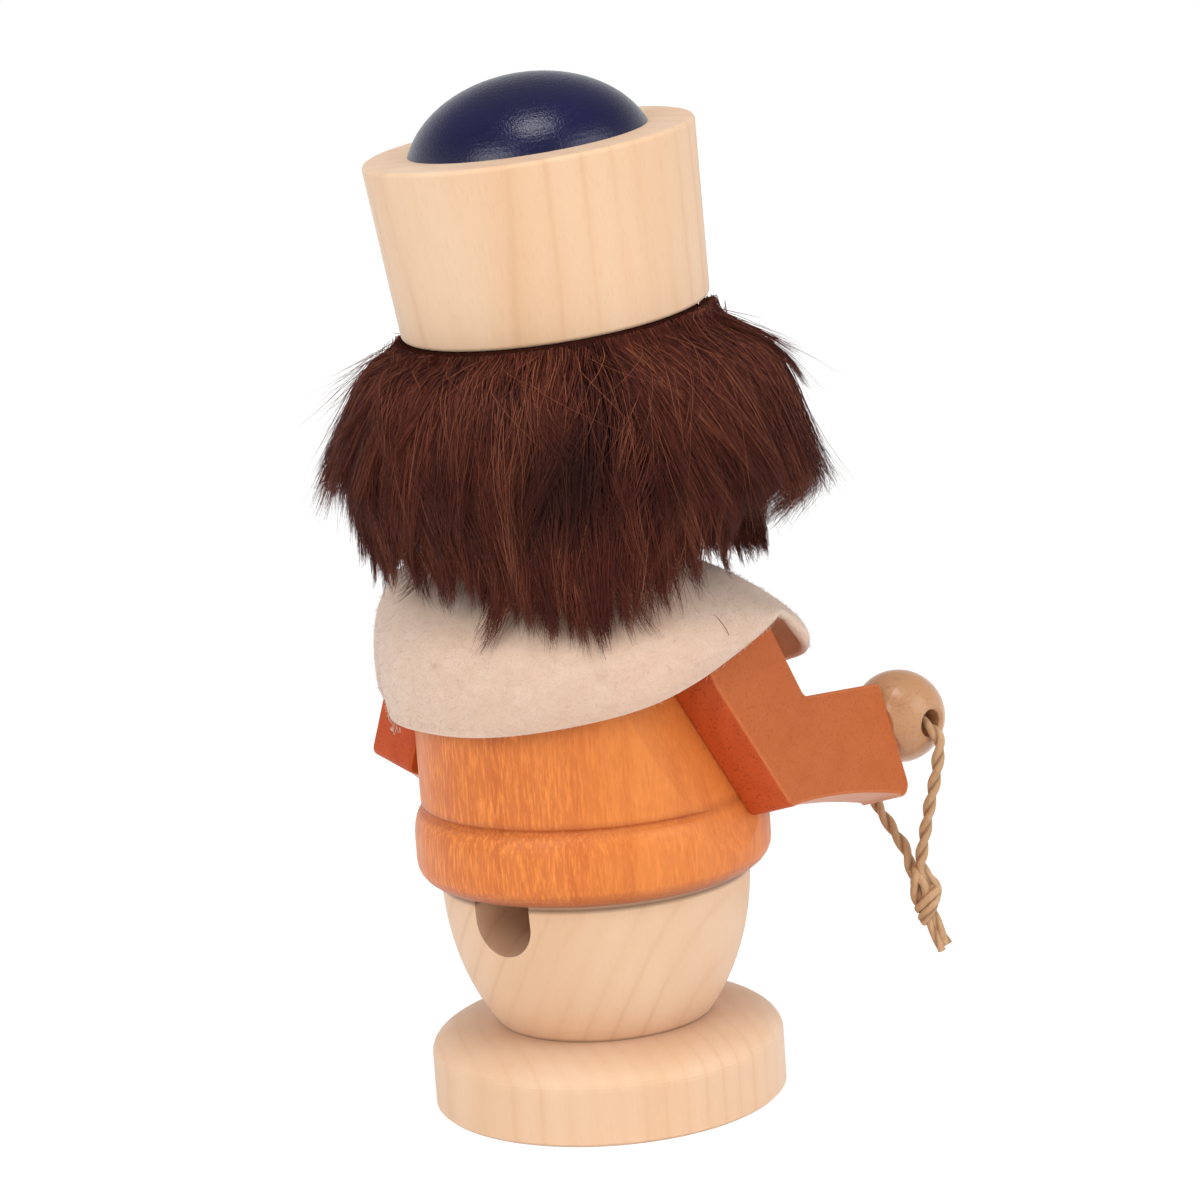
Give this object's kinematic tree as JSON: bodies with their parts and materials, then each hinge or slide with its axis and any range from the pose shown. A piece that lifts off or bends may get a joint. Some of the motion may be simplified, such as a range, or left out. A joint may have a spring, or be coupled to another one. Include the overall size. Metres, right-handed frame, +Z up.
{
  "type": "incense smoker figure",
  "caption": "Turned wooden incense smoker: bowl on a foot disc, hollow coat that lifts off, board arms, felt collar, fur hair and beard, tall domed cap and a cord loop on one hand.",
  "frame": {"origin": "centre of the foot disc's underside, on the turning axis", "axes": "+Z up along the turning axis; -Y is the figure's front, with its mouth and forearms; -X is the figure's own right, with the cord on its hand"},
  "size_m": [0.0825, 0.0877, 0.1599],
  "materials": {
    "natural_wood": "pale maple, sanded and unvarnished",
    "hat_wood": "pale maple with upright grain",
    "dowel_wood": "beech dowel, raw",
    "coat_stain": "orange stain that shows the grain, satin",
    "arm_stain": "darker orange brown stain, matt",
    "bead_wood": "waxed bead, slightly glossy",
    "head_wood": "flesh-toned stain, satin, with two painted eyes",
    "nose_paint": "flesh-red stain, satin",
    "blue_paint": "dark blue opaque stain, satin",
    "felt": "cream wool felt, fuzzy",
    "fur": "dark brown long-pile fur",
    "paper_cord": "twisted two-ply paper cord",
    "tin": "pressed sheet, dull",
    "nail_steel": "bright nail"
  },
  "bodies": {
    "lower": {"base_disc": "natural_wood", "lower_body": "natural_wood", "base_dowel": "dowel_wood", "cone_pan": "tin", "pan_nail": "nail_steel"},
    "upper": {"coat": "coat_stain", "neck_tube": "dowel_wood", "felt_collar": "felt", "right_arm": "arm_stain", "left_arm": "arm_stain", "arm_dowels": "dowel_wood", "right_hand": "bead_wood", "left_hand": "bead_wood", "hand_pegs": "dowel_wood", "head": "head_wood", "nose": "nose_paint", "hair": "fur", "beard": "fur", "hat": "hat_wood", "hat_dowel": "dowel_wood", "hat_dome": "blue_paint", "dome_dowel": "dowel_wood"},
    "cord": {"cord_loop": "paper_cord", "cord_knot": "paper_cord", "cord_tail": "paper_cord"}
  },
  "joints": [
    {"name": "lift_off", "type": "slide", "parent": "lower", "child": "upper", "axis": [0, 0, 1], "range_m": [0, 0.06]},
    {"name": "cord_swing", "type": "hinge", "parent": "upper", "child": "cord", "pos_m": [-0.0298, -0.0435, 0.0535], "axis": [-0.9872, 0.1387, -0.0785], "range_deg": [-18, 60]}
  ]
}
